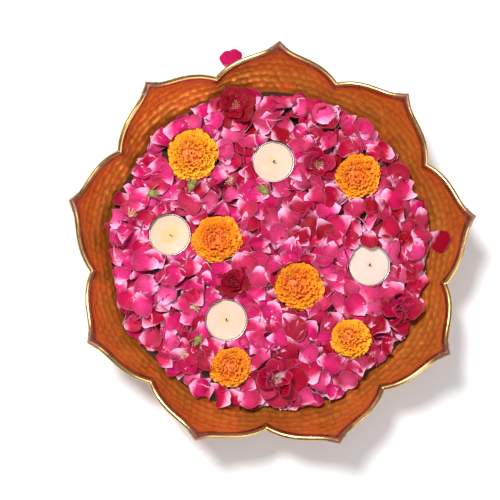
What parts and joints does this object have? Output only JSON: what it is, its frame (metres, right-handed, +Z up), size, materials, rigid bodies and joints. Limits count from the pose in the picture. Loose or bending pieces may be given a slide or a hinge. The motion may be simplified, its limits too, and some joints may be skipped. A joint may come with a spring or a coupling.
{
  "type": "urli bowl",
  "caption": "Lotus-rimmed hammered metal bowl of water with floating candles, marigold and rose heads and loose rose petals.",
  "frame": {"origin": "on the table, at the middle of the bowl's flat base", "axes": "+Z up out of the bowl, along its axis; +Y towards the lotus petal tip at the top, +X to its right"},
  "size_m": [0.3528, 0.3494, 0.0842],
  "materials": {
    "hammered_sheet": "satin",
    "rim_roll": "satin",
    "brazed_joint": "satin",
    "water": "gloss",
    "rose_petal": "matte",
    "dark_rose_petal": "matte",
    "marigold_floret": "matte",
    "calyx": "matte",
    "bud": "matte",
    "tin_cup": "satin",
    "wax": "satin",
    "wick_foot": "satin",
    "wick": "matte"
  },
  "bodies": {
    "bowl": {"bowl_shell": "hammered_sheet", "rim_tip_1": "brazed_joint", "rim_tip_2": "brazed_joint", "rim_tip_3": "brazed_joint", "rim_tip_4": "brazed_joint", "rim_tip_5": "brazed_joint", "rim_tip_6": "brazed_joint", "rim_tip_7": "brazed_joint", "rim_tip_8": "brazed_joint", "rim_tip_9": "brazed_joint", "rim_bead_1": "rim_roll", "rim_bead_2": "rim_roll", "rim_bead_3": "rim_roll", "rim_bead_4": "rim_roll", "rim_bead_5": "rim_roll", "rim_bead_6": "rim_roll", "rim_bead_7": "rim_roll", "rim_bead_8": "rim_roll", "rim_bead_9": "rim_roll", "water": "water", "petal_bed": "rose_petal", "bud_1": "bud", "bud_2": "bud", "bud_3": "bud", "bud_4": "bud"},
    "tealight_1": {"tealight_1_cup": "tin_cup", "tealight_1_wax": "wax", "tealight_1_wick_foot": "wick_foot", "tealight_1_wick": "wick"},
    "tealight_2": {"tealight_2_cup": "tin_cup", "tealight_2_wax": "wax", "tealight_2_wick_foot": "wick_foot", "tealight_2_wick": "wick"},
    "tealight_3": {"tealight_3_cup": "tin_cup", "tealight_3_wax": "wax", "tealight_3_wick_foot": "wick_foot", "tealight_3_wick": "wick"},
    "tealight_4": {"tealight_4_cup": "tin_cup", "tealight_4_wax": "wax", "tealight_4_wick_foot": "wick_foot", "tealight_4_wick": "wick"},
    "marigold_1": {"marigold_1_head": "marigold_floret", "marigold_1_calyx": "calyx"},
    "marigold_2": {"marigold_2_head": "marigold_floret", "marigold_2_calyx": "calyx"},
    "marigold_3": {"marigold_3_head": "marigold_floret", "marigold_3_calyx": "calyx"},
    "marigold_4": {"marigold_4_head": "marigold_floret", "marigold_4_calyx": "calyx"},
    "marigold_5": {"marigold_5_head": "marigold_floret", "marigold_5_calyx": "calyx"},
    "marigold_6": {"marigold_6_head": "marigold_floret", "marigold_6_calyx": "calyx"},
    "rose_bloom_1": {"rose_1": "dark_rose_petal"},
    "rose_bloom_2": {"rose_2": "rose_petal"},
    "rose_bloom_3": {"rose_3": "dark_rose_petal"},
    "rose_bloom_4": {"rose_4": "rose_petal"},
    "rose_bloom_5": {"rose_5": "rose_petal"}
  },
  "joints": [
    {"name": "tealight_1_lift", "type": "slide", "parent": "bowl", "child": "tealight_1", "axis": [0, 0, 1], "range_m": [0, 0.08]},
    {"name": "tealight_2_lift", "type": "slide", "parent": "bowl", "child": "tealight_2", "axis": [0, 0, 1], "range_m": [0, 0.08]},
    {"name": "tealight_3_lift", "type": "slide", "parent": "bowl", "child": "tealight_3", "axis": [0, 0, 1], "range_m": [0, 0.08]},
    {"name": "tealight_4_lift", "type": "slide", "parent": "bowl", "child": "tealight_4", "axis": [0, 0, 1], "range_m": [0, 0.08]},
    {"name": "marigold_1_lift", "type": "slide", "parent": "bowl", "child": "marigold_1", "axis": [0, 0, 1], "range_m": [0, 0.08]},
    {"name": "marigold_2_lift", "type": "slide", "parent": "bowl", "child": "marigold_2", "axis": [0, 0, 1], "range_m": [0, 0.08]},
    {"name": "marigold_3_lift", "type": "slide", "parent": "bowl", "child": "marigold_3", "axis": [0, 0, 1], "range_m": [0, 0.08]},
    {"name": "marigold_4_lift", "type": "slide", "parent": "bowl", "child": "marigold_4", "axis": [0, 0, 1], "range_m": [0, 0.08]},
    {"name": "marigold_5_lift", "type": "slide", "parent": "bowl", "child": "marigold_5", "axis": [0, 0, 1], "range_m": [0, 0.08]},
    {"name": "marigold_6_lift", "type": "slide", "parent": "bowl", "child": "marigold_6", "axis": [0, 0, 1], "range_m": [0, 0.08]},
    {"name": "rose_bloom_1_lift", "type": "slide", "parent": "bowl", "child": "rose_bloom_1", "axis": [0, 0, 1], "range_m": [0, 0.08]},
    {"name": "rose_bloom_2_lift", "type": "slide", "parent": "bowl", "child": "rose_bloom_2", "axis": [0, 0, 1], "range_m": [0, 0.08]},
    {"name": "rose_bloom_3_lift", "type": "slide", "parent": "bowl", "child": "rose_bloom_3", "axis": [0, 0, 1], "range_m": [0, 0.08]},
    {"name": "rose_bloom_4_lift", "type": "slide", "parent": "bowl", "child": "rose_bloom_4", "axis": [0, 0, 1], "range_m": [0, 0.08]},
    {"name": "rose_bloom_5_lift", "type": "slide", "parent": "bowl", "child": "rose_bloom_5", "axis": [0, 0, 1], "range_m": [0, 0.08]}
  ]
}
